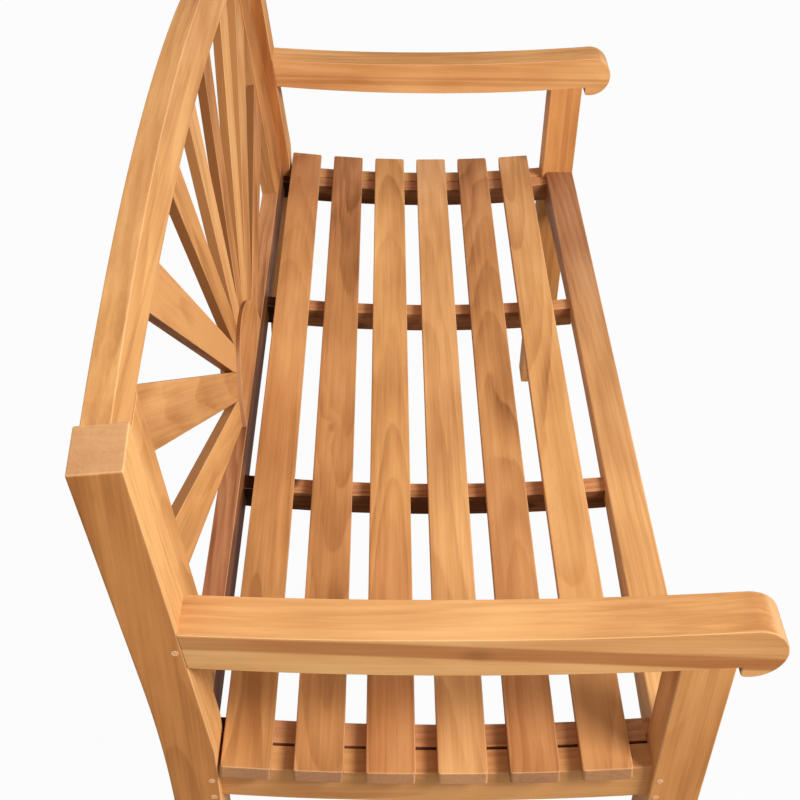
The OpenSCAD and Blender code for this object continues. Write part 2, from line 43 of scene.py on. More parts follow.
# Sizes of the bench in millimetres, as in the model of its solids
BENCH_LENGTH = 1200
SEAT_HEIGHT, SEAT_DEPTH = 450, 468
BACK_HEIGHT = 896
BACK_LEAN = math.radians(6.8)
LEAN_START = 15
LEG_W, FRONT_LEG_D, REAR_LEG_D, REAR_BEND_R = 47, 50, 46, 1800
SLAT_COUNT, SLAT_W, SLAT_T, SLAT_CORNER = 6, 48, 18, 3
SLAT_OVERHANG, SLAT_REAR_GAP, SLAT_FRONT_GAP, SLAT_BED = 3, 3, 28, 0.3
DISH = 10.5
PANEL_T, PANEL_SETBACK = 26, 13
STILE_W = 88
REAR_RAIL_H, REAR_RAIL_RISE = 40, 2
CREST_TOP_R, CREST_LOW_R, CREST_H = 2500, 3600, 70
HUB_R, HUB_DROP = 114, 24
RAY_T, RAY_SETBACK, RAY_ANGLE = 12, 5.5, 17
RAY_TILTS = (0, 21.286, 41.855, 54.648, 69.125)
LAST_RAY = len(RAY_TILTS) - 1
RAY_ROOT_W, RAY_FLARE, RAY_GAP = 36, 0.06, 0.4
ARM_HEIGHT, ARM_W, ARM_T = 636, 47, 48
ARM_TOP_R, ARM_TOP_LOW = 3400, 182
ARM_UNDER_R, ARM_UNDER_LOW = 2800, 216
NOSE_R, NOSE_REACH, NOSE_NOTCH, NOSE_LIP_R = 31, 42, 4, 5
SIDE_RAIL_T, SIDE_RAIL_H = 28, 47
FRONT_RAIL_T, FRONT_RAIL_H, FRONT_RAIL_ARCH, FRONT_RAIL_DROP = 44, 50, 27, 4
BEARER_T, BEARER_H, BEARER_X = 24, 30, 189
END_BEARER_T, END_BEARER_GAP = 27, 3
PIN_D, PIN_INSET, PIN_DROP, PIN_PITCH = 7, 7, 10, 27

# How far a board runs on, out of sight, into one that it meets
TUCK, LONG_TUCK, RAY_TUCK = 3, 4, 5
# How far the front legs stand inside the arms, and where their edges turn sharp below them
LEG_TOP_TUCK, LEG_TOP_ZONE = 1.1, 20
# The frame's inner edges slope down towards the rays, over this width and depth
SLOPE_WIDE, SLOPE_DEEP = 9, 3.2
# Longer than any ray before it is cut, and about how far above its foot it meets the arch
RAY_START, RAY_END, RAY_RISE = -30, 700, 270
# How far the nose stays inside the solid's round, which has flat facets
NOSE_FACET = 0.03
# How much slimmer than the room beside the legs the end bearers' ends are
END_PLAY = 1
# How the plugs fit their bores, how deep they are shown, how proud they stand, and their rounded rims
PIN_FIT, PIN_SHOWN, PIN_PROUD, PIN_RIM_DEEP, PIN_RIM_WIDE = 0.2, 3, 0.4, 0.2, 0.25

# Radius of each kind of board's rounded arrises, and the straight steps round them
LEG_EASE, ARM_EASE, LOW_EASE, FRONT_RAIL_EASE, REAR_RAIL_EASE = 2.0, 1.3, 1.5, 2.5, 1.6
STILE_EASE, CREST_EASE, HUB_EASE, RAY_EASE, SLAT_EASE = 1.0, 1.6, 1.2, 1.2, 1.5
EASE_STEPS = 3
# The least turn in degrees that makes an edge an arris: the frame's slopes are shallow, and the
# short steps round a slat's corners aren't arrises
BOARD_SHARP, SLOPE_SHARP, SLAT_SHARP = 25, 12, 50

# Straight steps that stand for each curve
STEPS = {"arch": 60, "rail arch": 40, "hub": 48, "arm": 22, "nose": 20, "lip": 6, "dish": 16,
         "bend": 12, "leg top": 4, "slat corner": 4, "plug": 28}


# Places that follow from the sizes

LEG_OUT = BENCH_LENGTH / 2 - SLAT_OVERHANG
LEG_IN = LEG_OUT - LEG_W
LEG_MID = LEG_OUT - LEG_W / 2
FRAME_HALF = LEG_IN - STILE_W
RAIL_TOP = SEAT_HEIGHT + REAR_RAIL_RISE
KINK = SEAT_HEIGHT + LEAN_START
CREST_APEX = (BACK_HEIGHT - RAIL_TOP) / math.cos(BACK_LEAN)
CREST_TOP_CENTRE = CREST_APEX - CREST_TOP_R
CREST_LOW_CENTRE = CREST_APEX - CREST_H - CREST_LOW_R
POST_DEEP = REAR_LEG_D / math.cos(BACK_LEAN)


def circle_z(radius, centre, x):
    """Height at x of the upper half of a circle centred on (0, centre)."""
    return centre + math.sqrt(radius * radius - x * x)


def rearmost():
    """How far behind the rear legs' front the bench reaches, at the posts' tops or at the arch's."""
    crest_drop = CREST_TOP_R - math.sqrt(CREST_TOP_R ** 2 - LEG_IN ** 2)
    post = (BACK_HEIGHT - crest_drop - KINK) * math.tan(BACK_LEAN) + POST_DEEP
    crest = PANEL_SETBACK + PANEL_T * math.cos(BACK_LEAN) + CREST_APEX * math.sin(BACK_LEAN)
    return max(crest, post)


# The bench's middle, front to back, is over the origin
POST_FRONT = (SEAT_DEPTH + NOSE_REACH - rearmost()) / 2
FRONT_FACE = POST_FRONT - SEAT_DEPTH
FRONT_LEG_BACK = FRONT_FACE + FRONT_LEG_D
FRONT_RAIL_BACK = FRONT_FACE + FRONT_RAIL_T


def post_face(z):
    """Where the rear legs' front is, front to back, at height z above their bend."""
    return POST_FRONT + (z - KINK) * math.tan(BACK_LEAN)


ARM_BACK = post_face(ARM_HEIGHT - ARM_T / 2)
ARM_CENTRE = ARM_HEIGHT + math.sqrt(ARM_TOP_R ** 2 - ARM_TOP_LOW ** 2)
ARM_UNDER_CENTRE = ARM_CENTRE - ARM_TOP_R - ARM_T + ARM_UNDER_R

SLAT_FIRST = POST_FRONT - SLAT_REAR_GAP - SLAT_W / 2
SLAT_LAST = FRONT_RAIL_BACK + SLAT_FRONT_GAP + SLAT_W / 2
SLAT_PITCH = (SLAT_FIRST - SLAT_LAST) / (SLAT_COUNT - 1)
DISH_MID = (SLAT_FIRST + SLAT_LAST) / 2
DISH_HALF = (SLAT_FIRST - SLAT_LAST + SLAT_W) / 2
DISH_R = (DISH_HALF ** 2 + DISH ** 2) / (2 * DISH)
DISH_CENTRE = SEAT_HEIGHT - DISH + DISH_R
BEARER_TOP_R = DISH_R + SLAT_T + SLAT_BED

# Middles of the rear and front legs, front to back, in metres
POST_Y = (POST_FRONT + REAR_LEG_D / 2) * MM
FOOT_Y = (FRONT_FACE + FRONT_LEG_D / 2) * MM


# Node trees

class Sock:
    """An output of a node; arithmetic on it adds Math nodes."""

    def __init__(self, nodes, out):
        self.nodes = nodes
        self.out = out

    def math(self, operation, *others):
        values = {0: self}
        values.update({i + 1: other for i, other in enumerate(others)})
        return self.nodes.node("ShaderNodeMath", {"operation": operation}, values)

    def flipped(self, operation, other):
        return self.nodes.node("ShaderNodeMath", {"operation": operation}, {0: other, 1: self})

    def __add__(self, other):
        return self.math("ADD", other)

    def __radd__(self, other):
        return self.flipped("ADD", other)

    def __sub__(self, other):
        return self.math("SUBTRACT", other)

    def __rsub__(self, other):
        return self.flipped("SUBTRACT", other)

    def __mul__(self, other):
        return self.math("MULTIPLY", other)

    def __rmul__(self, other):
        return self.flipped("MULTIPLY", other)

    def band(self, low, high):
        """0 at low, 1 at high, and smooth between them; low may be the larger one."""
        return self.nodes.node(
            "ShaderNodeMapRange", {"interpolation_type": "SMOOTHSTEP"},
            {"Value": self, "From Min": low, "From Max": high})


class Nodes:
    """A node tree whose nodes are added by one method."""

    def __init__(self, tree):
        self.tree = tree

    def node(self, kind, settings=None, sockets=None, out=0):
        made = self.tree.nodes.new(kind)
        for key, value in (settings or {}).items():
            if key == "stops":
                self.set_stops(made.color_ramp, value)
            else:
                setattr(made, key, value)
        for key, value in (sockets or {}).items():
            self.feed(made.inputs[key], value)
        return Sock(self, made.outputs[out])

    def set_stops(self, ramp, stops):
        while len(ramp.elements) < len(stops):
            ramp.elements.new(0.5)
        for element, (spot, colour) in zip(ramp.elements, stops):
            element.position = spot
            element.color = (*colour, 1)

    def feed(self, socket, value):
        if isinstance(value, Sock):
            self.tree.links.new(value.out, socket)
        elif socket.type == "RGBA" and len(value) == 3:
            socket.default_value = (*value, 1)
        else:
            socket.default_value = value

    def parts(self, vector):
        return [self.node("ShaderNodeSeparateXYZ", {}, {0: vector}, out=i) for i in range(3)]

    def shown(self):
        """1 for rays that show a thing, seen directly, mirrored or through glass, and 0 for its light."""
        seen, mirrored, through = [self.node("ShaderNodeLightPath", out=f"Is {kind} Ray")
                                   for kind in ("Camera", "Glossy", "Transmission")]
        return (seen + mirrored + through).math("MINIMUM", 1.0)


class Paint(Nodes):
    """A material."""

    def __init__(self, name):
        self.material = bpy.data.materials.new(name)
        self.material.use_nodes = True
        super().__init__(self.material.node_tree)
        self.shader = self.tree.nodes["Principled BSDF"]

    def grain(self, where, layer, seed=0):
        """One layer of noise in the piece's own frame; seed shifts it."""
        factors, detail, roughness, shows = LAYERS[layer]
        shift = tuple(seed * step for step in SEED_STEPS)
        stretched = self.node("ShaderNodeVectorMath", {"operation": "MULTIPLY_ADD"},
                              {0: where, 1: factors, 2: shift})
        noise = self.node("ShaderNodeTexNoise", {}, {
            "Vector": stretched, "Scale": 1.0, "Detail": detail, "Roughness": roughness})
        return noise.band(*shows) if shows else noise

    def mix(self, factor, first, second, blend="MIX"):
        """A colour between two; 6 and 7 are the node's colour inputs and 2 its colour output."""
        return self.node("ShaderNodeMix", {"data_type": "RGBA", "blend_type": blend},
                         {0: factor, 6: first, 7: second}, out=2)

    def set(self, **sockets):
        for name, value in sockets.items():
            self.feed(self.shader.inputs[name.replace("_", " ")], value)


def sway(noise, amount):
    """Noise turned into a change to either side of nothing."""
    return (noise - 0.5) * amount


def hypotenuse(a, b):
    return (a * a + b * b).math("SQRT")


def srgb(r, g, b):
    """A colour as a photograph gives it, 0 to 255, turned into linear light."""
    def linear(c):
        return c / 255 / 12.92 if c <= 10 else ((c / 255 + 0.055) / 1.055) ** 2.4

    return tuple(linear(c) for c in (r, g, b))


# Teak

# Pale, middle and dark wood of each tone
TONES = {
    "teak_pale": (srgb(239, 188, 127), srgb(220, 162, 103), srgb(180, 122, 71)),
    "teak_golden": (srgb(232, 176, 113), srgb(210, 150, 91), srgb(162, 106, 59)),
    "teak_brown": (srgb(219, 160, 101), srgb(193, 133, 80), srgb(138, 85, 45)),
    "teak_red": (srgb(212, 149, 100), srgb(174, 114, 71), srgb(104, 58, 27)),
}
# Where they come in, from the palest depth of colour to the darkest
TONE_STOPS = (0.1, 0.5, 1.0)
STRIPE = srgb(172, 106, 60)
# The colour of the painted highlight along the arrises
ARRIS_HIGHLIGHT = srgb(246, 204, 156)
CUT_PALE, CUT_DARK = srgb(206, 158, 118), srgb(172, 120, 84)
PLUG_PALE, PLUG_DARK = srgb(236, 184, 130), srgb(206, 146, 94)
STEEL_PALE, STEEL_DARK = srgb(190, 190, 186), srgb(150, 150, 148)

# What a board's colour is multiplied by where it turns duller, browner or redder; some of these
# are painted shade
# Painted shade: darkens the slats towards their far ends, where the light falls off
FAR_END_SHADE = (0.78, 0.7, 0.88)
TAWNY = (0.76, 0.64, 0.62)
RUDDY = (1.0, 0.8, 0.62)
SHADED = (0.6, 0.52, 0.62)
RUSSET = (0.64, 0.52, 0.53)
# Painted shade: makes the bearers almost black in the recess behind the first slat
RECESS_SHADE = (0.12, 0.08, 0.06)

# Layers of noise: how often each repeats in a metre along, across and through a board, its
# detail, its roughness, and where it begins to show and shows in full
LAYERS = {
    "wander": ((1.5, 7, 7), 2.0, 0.5, None),
    "ripple": ((9, 34, 34), 2.0, 0.5, None),
    "figure": ((1.8, 14, 14), 2.0, 0.5, (0.3, 0.7)),
    "fibre": ((8, 300, 300), 3.0, 0.6, None),
    "streak": ((1.7, 55, 55), 3.0, 0.6, None),
    "mineral": ((1.3, 90, 90), 1.0, 0.5, (0.66, 0.76)),
    "mineral patch": ((3, 20, 20), 2.0, 0.5, (0.5, 0.7)),
    "pore": ((55, 1000, 1000), 1.0, 0.5, (0.66, 0.76)),
    "cloud": ((5, 16, 16), 2.0, 0.5, None),
    "tide": ((1.6, 3.5, 3.5), 1.0, 0.5, None),
    "cut end": ((300, 520, 520), 2.0, 0.6, None),
    "plug": ((900, 900, 900), 2.0, 0.6, None),
    "steel": ((400, 400, 400), 2.0, 0.5, None),
}
# How far a seed's step shifts the noise along, across and through
SEED_STEPS = (1.37, 0.73, 0.41)
# How much each layer darkens the wood, from its least to its most
DEPTHS = {"cloud": 1.1, "tide": 0.9, "streak": 0.7, "fibre": 0.45}
# How much a ring's dark line does, where its figure is faint and how much more where it is strong
RING_FAINT, RING_STRONG = 0.1, 0.24
# The least dark ring against the darkest, and where in a ring the dark line rises and ends
RING_LEAST, RING_RISE, RING_FALL = 0.25, (0.1, 0.9), (0.9, 1.0)
# How far noise bends the rings in metres, how far it lifts them, and how uneven they are
RING_SWAY, RING_LIFT, RING_UNEVEN = 0.006, 0.06, 0.8
# A knot is longer than wide; its sway, its core, and how far round it the rings are pushed
KNOT_LONG, KNOT_SWAY, KNOT_CORE, KNOT_REACH, KNOT_PUSH, KNOT_DARK = 0.5, 0.01, 0.15, 3.5, 0.007, 0.6
# A stripe's soft edge against its half width, its sway in metres, and how strong and streaky it is
STRIPE_EDGE, STRIPE_SWAY, STRIPE_BODY, STRIPE_STREAKS = (0.7, 1.1), 0.008, 0.8, 1.2
# How much of their own colour mineral streaks, pores, the arrises' painted highlight and cut ends show
MINERAL_SHARE, PORE_SHARE, ARRIS_HIGHLIGHT_SHARE, CUT_SHARE = 0.45, 0.22, 0.3, 0.6
# How far noise shifts a fade along the board, in metres
FADE_SWAY = 0.3
# How squarely a surface faces its board's axis where edges, wide faces, flats and ends begin and are full
EDGE_TURN, WIDE_TURN, FLAT_TURN, END_TURN = (0.45, 0.9), (0.8, 0.95), (0.8, 0.97), (0.75, 0.95)
# How each layer raises or lowers the surface, and how high that is
RELIEF_FIBRE, RELIEF_STREAK, RELIEF_PORE, RELIEF_RING = 0.5, 0.3, 0.6, 0.1
RELIEF = {"Strength": 0.22, "Distance": 0.0005}
ROUGH, ROUGH_FIBRE, ROUGH_CLOUD, SHINE = 0.62, 0.2, 0.15, 0.06
# The plugs' specks, from where they show to where they are full, and the other things' roughness
PLUG_SPECKS, PLUG_ROUGH, PLUG_ROUGH_SPECKS = (0.4, 0.65), 0.6, 0.2
STEEL_ROUGH, STEEL_ROUGH_SPECKS, FLOOR_ROUGH = 0.3, 0.15, 0.9


def knotted(paint, along, aside, reach, knot, wander, ripple):
    """A knot's spot, from 0 to 1, and the rings' reach pushed out round it."""
    knot_x, knot_y, radius = knot[:3]
    away = hypotenuse((along - knot_x) * KNOT_LONG + sway(ripple, KNOT_SWAY),
                      aside - knot_y + sway(wander, KNOT_SWAY))
    spot = 1 - away.band(KNOT_CORE * radius, radius)
    return spot, reach + (1 - away.band(0, KNOT_REACH * radius)) * KNOT_PUSH


def dark_lines(paint, count):
    """The dark line of each ring, from 0 to 1; every ring has its own strength."""
    phase = count.math("FRACT")
    each = paint.node("ShaderNodeTexWhiteNoise", {"noise_dimensions": "1D"}, {"W": count.math("FLOOR")})
    line = phase.band(*RING_RISE) * (1 - phase.band(*RING_FALL))
    return line * (RING_LEAST + each * (1 - RING_LEAST))


def teak(name, tone, seed, heart, slope, rings, base, figure=1.0, stripes=(), knot=None, fades=(),
         edge=0.0, warm=0.0):
    """Bare teak with its grain along the piece's own X.

    heart is the tree's middle, across and through the board, in metres; slope is how fast the
    board runs away from it; rings is their number in a metre, and figure how strong they are.
    base is how dark the board is, from 0 to 1, edge how much darker it is on its edges than on
    its wide faces, a painted shade there, or a painted light where edge is negative, and warm how
    much redder the wide faces are. A stripe is (place across, half its width, strength, tilt), a
    knot is (along, across, radius, strength), and a fade is (from, to, strength, what it
    multiplies by) along the board; some fades are painted shade.
    """
    paint = Paint(name)
    light, middle, dark = TONES[tone]
    where = paint.node("ShaderNodeTexCoord", out="Object")
    x, y, z = paint.parts(where)
    noise = {layer: paint.grain(where, layer, seed)
             for layer in ("wander", "ripple", "figure", "fibre", "streak", "pore", "cloud", "tide")}
    wander, streak, fibre = noise["wander"], noise["streak"], noise["fibre"]

    # Growth rings round the heart make long nested arches where the board runs out of them
    across = y - heart[0] + sway(noise["ripple"], RING_SWAY)
    deep = z - heart[1] + x * slope + sway(wander, RING_LIFT)
    reach = hypotenuse(across, deep)
    if knot:
        spot, reach = knotted(paint, x, y, reach, knot, wander, noise["ripple"])
    late = dark_lines(paint, reach * rings + sway(noise["ripple"], RING_UNEVEN))

    # How dark the wood is, and the colour that goes with it
    depth = base
    for layer, amount in DEPTHS.items():
        depth = depth + sway(noise[layer], amount)
    depth = depth + late * (RING_FAINT + noise["figure"] * RING_STRONG) * figure
    facing = paint.node("ShaderNodeTexCoord", out="Normal")
    turned = [part.math("ABSOLUTE") for part in paint.parts(facing)]
    # Painted shade on the narrow faces, or painted light on them where edge is negative
    if edge:
        depth = depth + (1 - turned[2].band(*EDGE_TURN)) * edge
    colour = paint.node("ShaderNodeValToRGB", {"stops": list(zip(TONE_STOPS, (light, middle, dark)))},
                        {0: depth})

    for line, half, strength, tilt in stripes:
        aside = (y - line - x * tilt + sway(wander, STRIPE_SWAY)).math("ABSOLUTE")
        inside = 1 - aside.band(half * STRIPE_EDGE[0], half * STRIPE_EDGE[1])
        share = inside * strength * (STRIPE_BODY + sway(streak, STRIPE_STREAKS))
        colour = paint.mix(share.math("MINIMUM", 1.0), colour, STRIPE)
    mineral = paint.grain(where, "mineral", seed) * paint.grain(where, "mineral patch", seed)
    colour = paint.mix(mineral * MINERAL_SHARE + noise["pore"] * PORE_SHARE, colour, dark)
    if knot:
        colour = paint.mix(spot * knot[3], colour, tuple(c * KNOT_DARK for c in dark))
    # Fades along the board; some are painted shade, towards the far end or in the recess
    for start, end, strength, tint in fades:
        share = (x + sway(wander, FADE_SWAY)).band(start, end) * strength
        colour = paint.mix(share, colour, tint, "MULTIPLY")
    if warm:
        colour = paint.mix(turned[2].band(*WIDE_TURN) * warm, colour, RUDDY, "MULTIPLY")

    # Arrises get a painted highlight, a paler colour, and cut ends show the fibres end on
    flat = turned[0].math("MAXIMUM", turned[1]).math("MAXIMUM", turned[2]).band(*FLAT_TURN)
    colour = paint.mix((1 - flat) * ARRIS_HIGHLIGHT_SHARE, colour, ARRIS_HIGHLIGHT)
    cut = paint.mix(paint.grain(where, "cut end", seed), CUT_PALE, CUT_DARK)
    colour = paint.mix(turned[0].band(*END_TURN) * CUT_SHARE, colour, cut)

    relief = (fibre * RELIEF_FIBRE + streak * RELIEF_STREAK - noise["pore"] * RELIEF_PORE
              - late * RELIEF_RING)
    normal = paint.node("ShaderNodeBump", {}, {**RELIEF, "Height": relief})
    rough = ROUGH + sway(fibre, ROUGH_FIBRE) + sway(noise["cloud"], ROUGH_CLOUD)
    paint.set(Base_Color=colour, Roughness=rough, Normal=normal, Specular_IOR_Level=SHINE)
    return paint.material


# The bearers run into the dark gap between the first slat and the back, from this far in front of
# the rear legs' faces to this far behind them; there they are painted almost black, as shade
RECESS_FRONT, RECESS_BACK = 9, 3
BEARER_WOOD = dict(tone="teak_red", heart=(0.4, 0.07), slope=0.06, rings=120, edge=-0.55,
                   fades=(((POST_FRONT - RECESS_FRONT) * MM, (POST_FRONT + RECESS_BACK) * MM, 1.0, RECESS_SHADE),))

# How each kind of board is sawn and coloured, as teak() takes it; the side shift is how much darker
# the right-hand one of two is than the base, and how much paler the left-hand one is, as painted
# shade on the far board and painted light on the near one. The edge values paint shade on the
# narrow faces, or light where they are negative.
WOOD = {
    "rear_leg": dict(tone="teak_golden", seed=3, heart=(POST_Y + 0.03, -0.09), slope=0.02, rings=110,
                     figure=0.8, base=0.6, far_side_shade=0.1, edge=-0.35, warm=0.6),
    "front_leg": dict(tone="teak_golden", seed=6, heart=(FOOT_Y, -0.07), slope=0.015, rings=110,
                      figure=0.7, base=0.52, warm=0.5, stripes=((FOOT_Y - 0.006, 0.005, 0.45, 0.0),)),
    "arm": dict(tone="teak_pale", seed=9, heart=(0.585, 0.09), slope=0.06, rings=90,
                figure=0.8, base=0.46, far_side_shade=0.04, edge=0.24, warm=0.25),
    "side_rail": dict(tone="teak_brown", seed=12, heart=(0.4, 0.09), slope=0.06, rings=120,
                      base=0.1, warm=0.2),
    "end_bearer": dict(BEARER_WOOD, seed=40, base=0.75),
    "middle_bearer": dict(BEARER_WOOD, seed=43, base=0.77),
    "front_rail": dict(tone="teak_pale", seed=15, heart=(0.43, 0.09), slope=0.05, rings=90,
                       base=0.5, fades=((-0.3, 0.55, 1.0, SHADED),)),
    "rear_rail": dict(tone="teak_red", seed=17, heart=(-0.03, -0.09), slope=0.04, rings=100,
                      base=0.68, edge=-0.4, fades=((0.1, -0.45, 1.0, RUSSET),)),
    "stile": dict(tone="teak_golden", seed=20, slope=0.1, rings=90, base=0.48, far_side_shade=0.16),
    "top_rail": dict(tone="teak_golden", seed=24, heart=(0.42, -0.1), slope=0.05, rings=80,
                     base=0.34, edge=0.15,
                     stripes=((0.43, 0.016, 0.3, 0.0), (0.388, 0.004, 0.25, 0.0))),
    "sun_hub": dict(tone="teak_brown", seed=27, heart=(0.03, -0.07), slope=0.08, rings=90,
                    base=0.38, edge=0.9),
    "ray": dict(seed=30, slope=0.07, rings=90, figure=0.8, edge=0.75),
    "seat_slat": dict(seed=50, rings=130, edge=0.2),
}

# The stiles' grain leans opposite ways, and the right-hand one is redder
STILES = {-1: dict(heart=(0.5, -0.09), warm=0.0), 1: dict(heart=(-0.5, -0.09), warm=0.4)}

# The darker stripes of each arm, and a knot in the left one, in metres
ARMS = {
    -1: dict(stripes=((0.6145, 0.0095, 0.8, 0.045),), knot=(-0.03, 0.611, 0.011, 0.5)),
    1: dict(stripes=((0.609, 0.0025, 0.4, 0.0), (0.6, 0.004, 0.3, 0.0))),
}

# The rays from the left end to the right: how dark each is, the tones, which take turns, and how
# far the tree's heart shifts across from ray to ray and lies behind them, in metres
RAY_BASES = (0.48, 0.66, 0.04, 0.42, 0.55, 0.36, 0.5, 0.6, 0.4)
RAY_TONES = ("teak_golden", "teak_pale", "teak_brown")
RAY_HEART_STEP, RAY_HEART_DEEP = 0.004, -0.06

# The slats, from the back to the front, and how far apart their seeds are
SLAT_SEED_STEP = 3
# The last fade of each slat is painted shade towards its far end
SLATS = (
    dict(tone="teak_golden", heart=(0.004, -0.05), slope=0.05, base=0.66,
         fades=((-0.5, 0.0, 0.5, TAWNY), (0.2, 0.6, 0.6, FAR_END_SHADE))),
    dict(tone="teak_brown", heart=(-0.012, -0.045), slope=-0.06, base=0.62,
         knot=(-0.1, 0.004, 0.006, 0.35), fades=((0.2, 0.62, 0.6, FAR_END_SHADE),)),
    dict(tone="teak_golden", heart=(0.0, -0.03), slope=0.045, base=0.42,
         fades=((-0.1, -0.5, 1.0, TAWNY), (0.3, 0.6, 0.1, FAR_END_SHADE))),
    dict(tone="teak_pale", heart=(0.03, -0.08), slope=0.03, base=0.56,
         fades=((-0.3, -0.6, 0.3, TAWNY), (0.3, 0.65, 0.5, FAR_END_SHADE))),
    dict(tone="teak_brown", heart=(-0.006, -0.05), slope=0.06, base=0.38,
         fades=((-0.1, -0.5, 0.8, TAWNY), (0.15, 0.6, 0.5, FAR_END_SHADE))),
    dict(tone="teak_golden", heart=(0.016, -0.04), slope=-0.05, base=0.2,
         fades=((-0.05, -0.55, 0.7, TAWNY), (0.2, 0.62, 0.4, FAR_END_SHADE))),
)


def wood(kind, number=0, **changes):
    """A board's look: its kind's, with changes, and with noise that its number sets apart."""
    look = {**WOOD[kind], **changes}
    look["seed"] += number
    # Painted shade on the right-hand, far board and painted light on the left-hand, near one
    look["base"] += look.pop("far_side_shade", 0) * number
    return look


# Meshes

def spaced(first, last, count):
    """Values from first to last in count equal steps."""
    return [first + (last - first) * i / count for i in range(count + 1)]


def arc(radius, centre, x0, x1, count):
    """Points along the top of a circle centred on (0, centre), from x0 to x1."""
    return [(x, circle_z(radius, centre, x)) for x in spaced(x0, x1, count)]


def turn_points(centre, radius, first, last, count):
    """Points round a centre, from one angle to another."""
    return [(centre[0] + radius * math.cos(a), centre[1] + radius * math.sin(a))
            for a in spaced(first, last, count)]


def clip(points, normal, limit):
    """The part of a convex outline where normal times the point is at most limit."""
    kept = []
    for a, b in zip(points, points[1:] + points[:1]):
        da = a[0] * normal[0] + a[1] * normal[1] - limit
        db = b[0] * normal[0] + b[1] * normal[1] - limit
        if da <= 0:
            kept.append(a)
        if (da < 0 < db) or (db < 0 < da):
            t = da / (da - db)
            kept.append((a[0] + (b[0] - a[0]) * t, a[1] + (b[1] - a[1]) * t))
    return kept


def skin(mesh, rings):
    """Adds a closed skin over rings of points in millimetres, joined in order."""
    loops = [[mesh.verts.new([c * MM for c in point]) for point in ring] for ring in rings]
    mesh.faces.new(loops[0])
    mesh.faces.new(loops[-1])
    for low, high in zip(loops, loops[1:]):
        for i in range(len(low)):
            j = (i + 1) % len(low)
            mesh.faces.new((low[i], low[j], high[j], high[i]))


def new_piece(name, mesh, material):
    data = bpy.data.meshes.new(name)
    mesh.to_mesh(data)
    mesh.free()
    data.materials.append(material)
    piece = bpy.data.objects.new(name, data)
    bpy.context.scene.collection.objects.link(piece)
    return piece


# Boards: u runs along the grain, v across, w through the thickness

def place(origin, u, v):
    """Where a board lies: its origin in millimetres, with its u and v directions."""
    u, v = Vector(u).normalized(), Vector(v).normalized()
    w = u.cross(v)
    spot = Matrix((u, v, w)).transposed().to_4x4()
    spot.translation = Vector(origin) * MM
    return spot


# Directions of the bench's length, depth and height
ALONG, BACKWARD, UP = (1, 0, 0), (0, 1, 0), (0, 0, 1)

# The back panel's own frame: X along the bench, Z up its face from the rear rail's top
PANEL = (Matrix.Translation(Vector((0, POST_FRONT + PANEL_SETBACK, RAIL_TOP)) * MM)
         @ Matrix.Rotation(-BACK_LEAN, 4, "X"))


def board(name, node, rings, spot, look, ease, sharp=BOARD_SHARP, crisp_past=math.inf):
    """A board from rings of outlines (outline, w), joined in order, with rounded arrises.

    Edges that turn by more than sharp degrees are arrises. Those that lie past crisp_past along
    the grain stay sharp.
    """
    mesh = bmesh.new()
    skin(mesh, [[(u, v, w) for u, v in outline] for outline, w in rings])
    bmesh.ops.recalc_face_normals(mesh, faces=mesh.faces)
    for face in mesh.faces:
        face.smooth = True
    arrises = []
    for edge in mesh.edges:
        if edge.calc_face_angle(0) > math.radians(sharp):
            if all(v.co.x / MM > crisp_past for v in edge.verts):
                edge.smooth = False
            else:
                arrises.append(edge)
    bmesh.ops.bevel(mesh, geom=arrises, offset=ease * MM, offset_type="OFFSET", segments=EASE_STEPS,
                    profile=0.5, affect="EDGES", clamp_overlap=True)
    piece = new_piece(name, mesh, teak(node, **look))
    piece.matrix_world = spot
    piece.modifiers.new("even shading", "WEIGHTED_NORMAL").keep_sharp = True
    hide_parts(node)
    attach(piece, "root")


def slab(outline, low, high):
    """Rings of a plain board between two depths."""
    return [(outline, low), (outline, high)]


def side_name(side):
    return "left" if side < 0 else "right"


# Legs and arms

def rear_leg_outline(top):
    """The leg from its side, as (height, depth) points; its front ends at height top of the panel."""
    front_z = RAIL_TOP + top * math.cos(BACK_LEAN) + PANEL_SETBACK * math.sin(BACK_LEAN)
    back_z = front_z - POST_DEEP * math.sin(BACK_LEAN)
    bend_z = KINK - (REAR_LEG_D + REAR_BEND_R) * math.tan(BACK_LEAN / 2)
    heel = POST_FRONT + REAR_LEG_D
    bend = [(bend_z + REAR_BEND_R * math.sin(a), heel + REAR_BEND_R * (1 - math.cos(a)))
            for a in spaced(BACK_LEAN, 0, STEPS["bend"])]
    front = [(0, POST_FRONT), (KINK, POST_FRONT), (front_z, post_face(front_z))]
    return front + [(back_z, post_face(back_z) + POST_DEEP)] + bend + [(0, heel)]


def rear_leg(side):
    """A rear leg, whose top follows the arch from its outer side to its inner one."""
    outer, inner = [rear_leg_outline(circle_z(CREST_TOP_R, CREST_TOP_CENTRE, x)) for x in (LEG_OUT, LEG_IN)]
    # w runs along -X, so the left leg's outer side has the larger w
    low, high = (outer, inner) if side > 0 else (inner, outer)
    node = f"rear_leg_{side_name(side)}"
    board(node + "_board", node, [(low, -LEG_W / 2), (high, LEG_W / 2)],
          place((side * LEG_MID, 0, 0), UP, BACKWARD), wood("rear_leg", side), LEG_EASE)


def arm_top(y):
    return ARM_CENTRE - math.sqrt(ARM_TOP_R ** 2 - (y - ARM_BACK + ARM_TOP_LOW) ** 2)


def arm_under(y):
    return ARM_UNDER_CENTRE - math.sqrt(ARM_UNDER_R ** 2 - (y - ARM_BACK + ARM_UNDER_LOW) ** 2)


